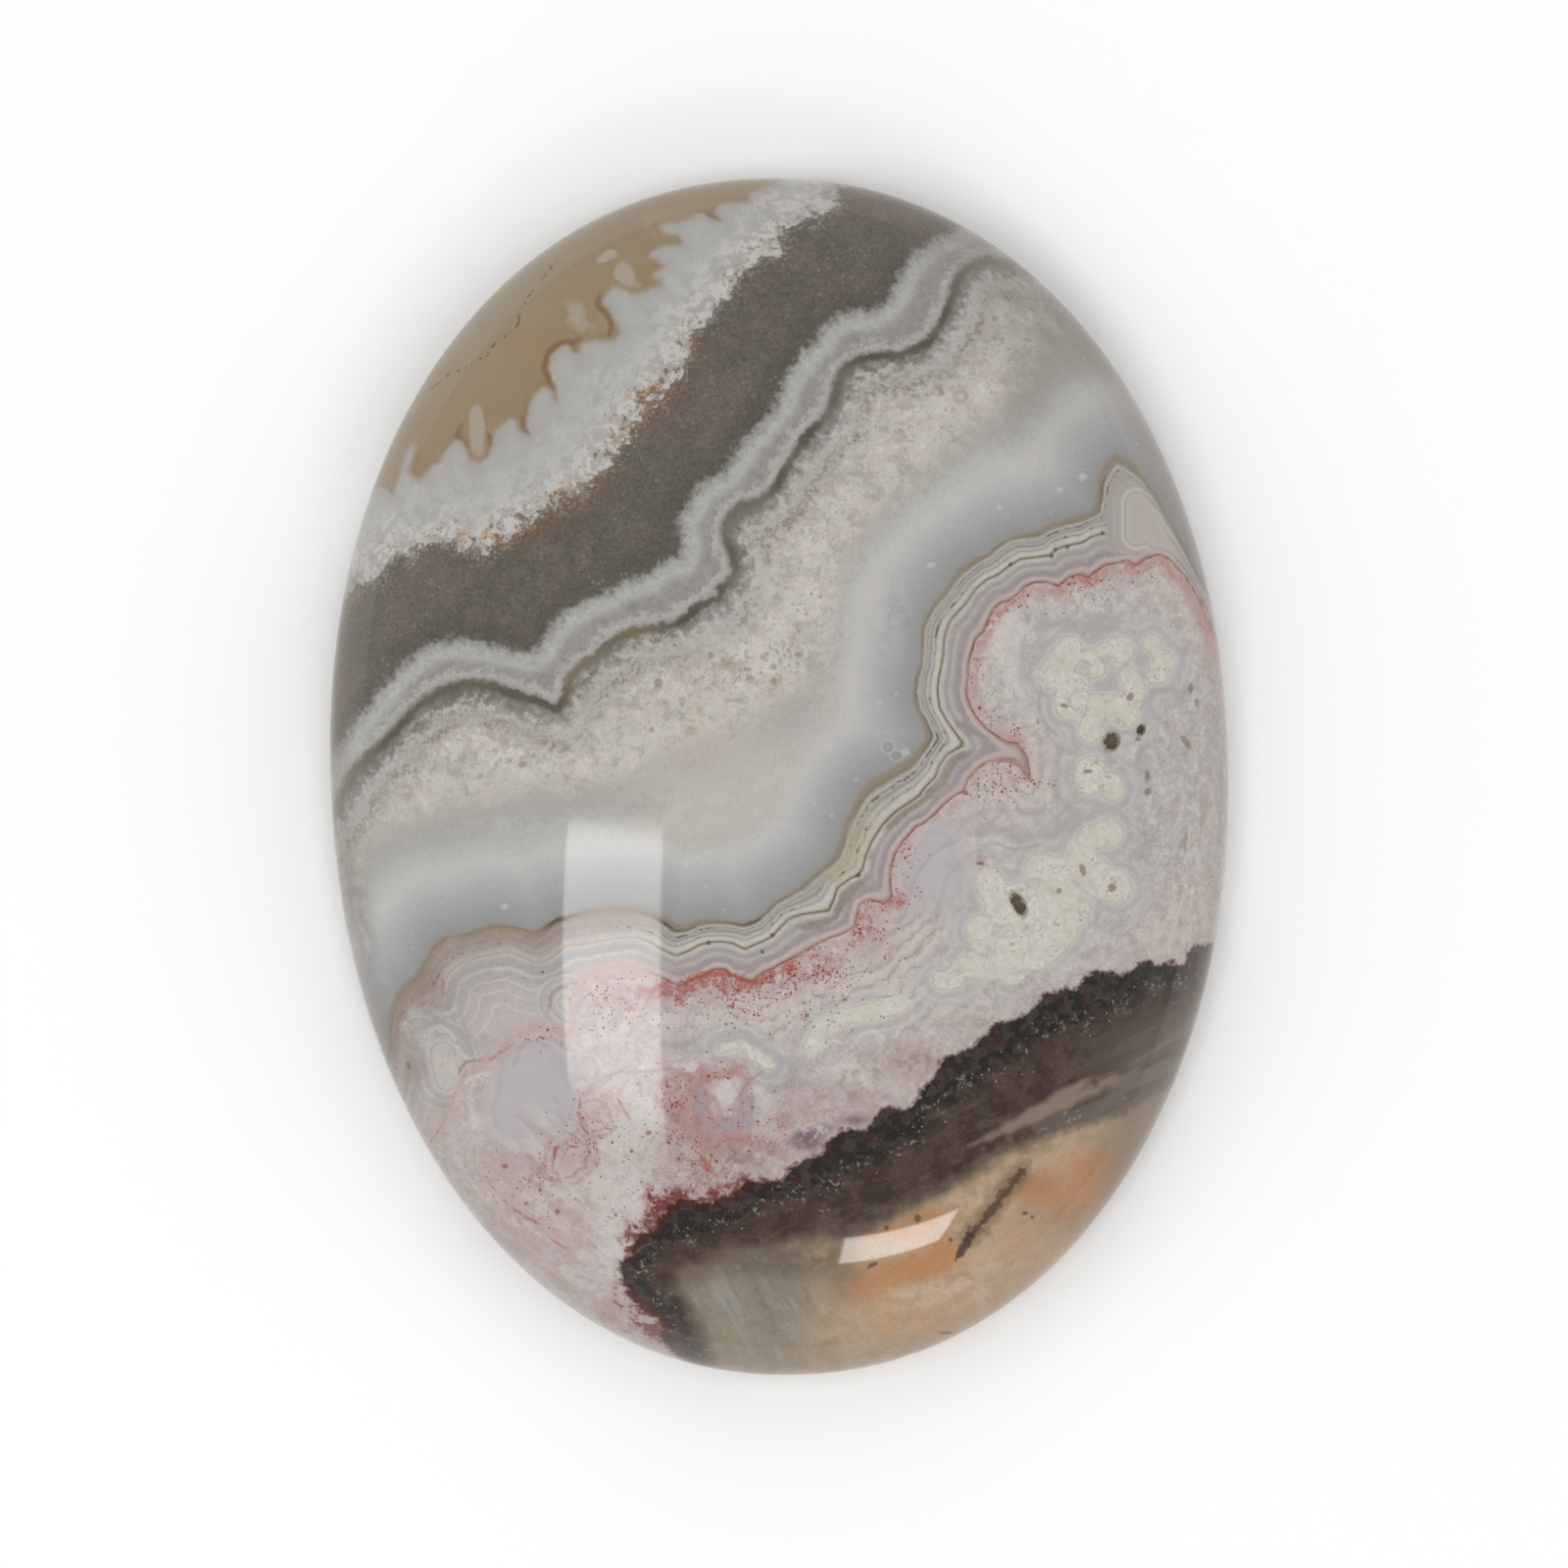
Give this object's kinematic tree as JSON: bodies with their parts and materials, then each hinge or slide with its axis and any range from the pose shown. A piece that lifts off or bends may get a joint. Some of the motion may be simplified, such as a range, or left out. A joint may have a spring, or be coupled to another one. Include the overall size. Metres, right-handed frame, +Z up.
{
  "type": "banded agate cabochon",
  "caption": "Oval polished agate cabochon with a high dome, a narrow upright girdle, a bevelled edge and a flat back to set or glue.",
  "frame": {"origin": "centre of the oval on the flat back", "axes": "+Z up from the flat back to the top of the dome, +Y along the oval's length towards its slightly broader end, +X across its width"},
  "size_m": [0.03, 0.04, 0.0075],
  "materials": {
    "agate": "polished"
  },
  "bodies": {
    "root": {"cabochon": "agate"}
  },
  "joints": []
}
